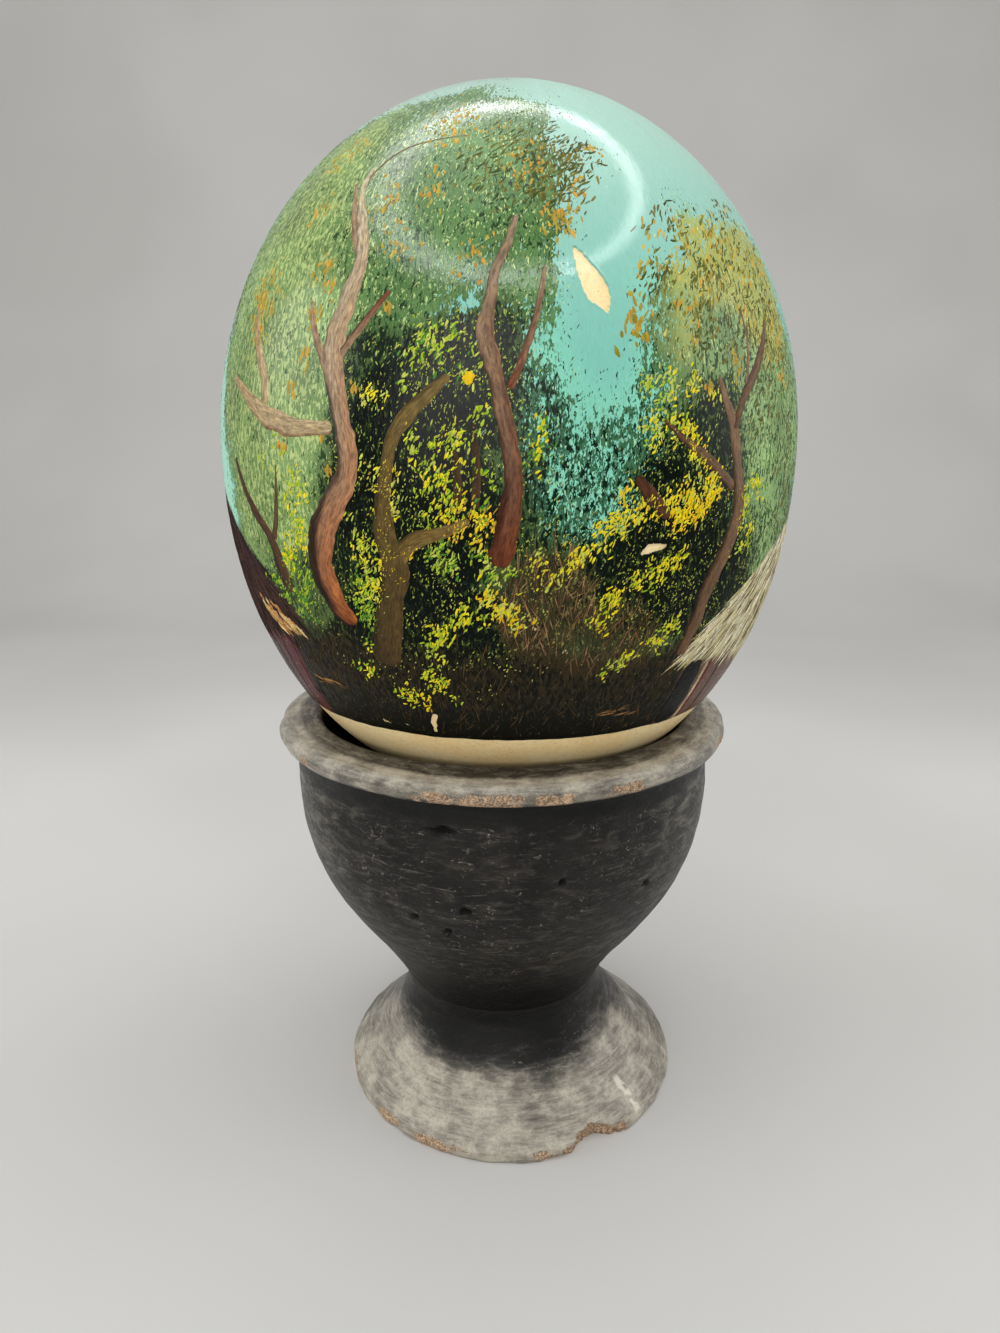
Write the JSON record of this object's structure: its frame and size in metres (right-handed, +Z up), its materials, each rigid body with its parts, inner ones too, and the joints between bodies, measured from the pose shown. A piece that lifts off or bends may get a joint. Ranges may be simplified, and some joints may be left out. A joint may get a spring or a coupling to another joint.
{
  "type": "painted ostrich egg in clay cup",
  "caption": "Large hollow egg with a painted woodland scene all round, resting loose in a footed, dark clay egg cup with a rolled lip.",
  "frame": {"origin": "on the table, under the egg's own axis", "axes": "+Z up along the egg's long axis, -Y towards the front of the painting, +X to its right"},
  "size_m": [0.1284, 0.1284, 0.2352],
  "materials": {
    "shell": "natural eggshell, faintly pitted",
    "membrane": "dry parchment-like lining",
    "paint": "varnished brush-stippled paint film",
    "bowl_clay": "burnished, smoke-blackened earthenware",
    "foot_clay": "burnished, smoke-blackened earthenware, worn at the edge"
  },
  "bodies": {
    "stand": {"stand_bowl": "bowl_clay", "stand_foot": "foot_clay"},
    "egg": {"egg_shell": "shell", "shell_membrane": "membrane", "paint_coat": "paint"}
  },
  "joints": [
    {"name": "egg_lift", "type": "slide", "parent": "stand", "child": "egg", "axis": [0, 0, 1], "range_m": [0, 0.08]}
  ]
}
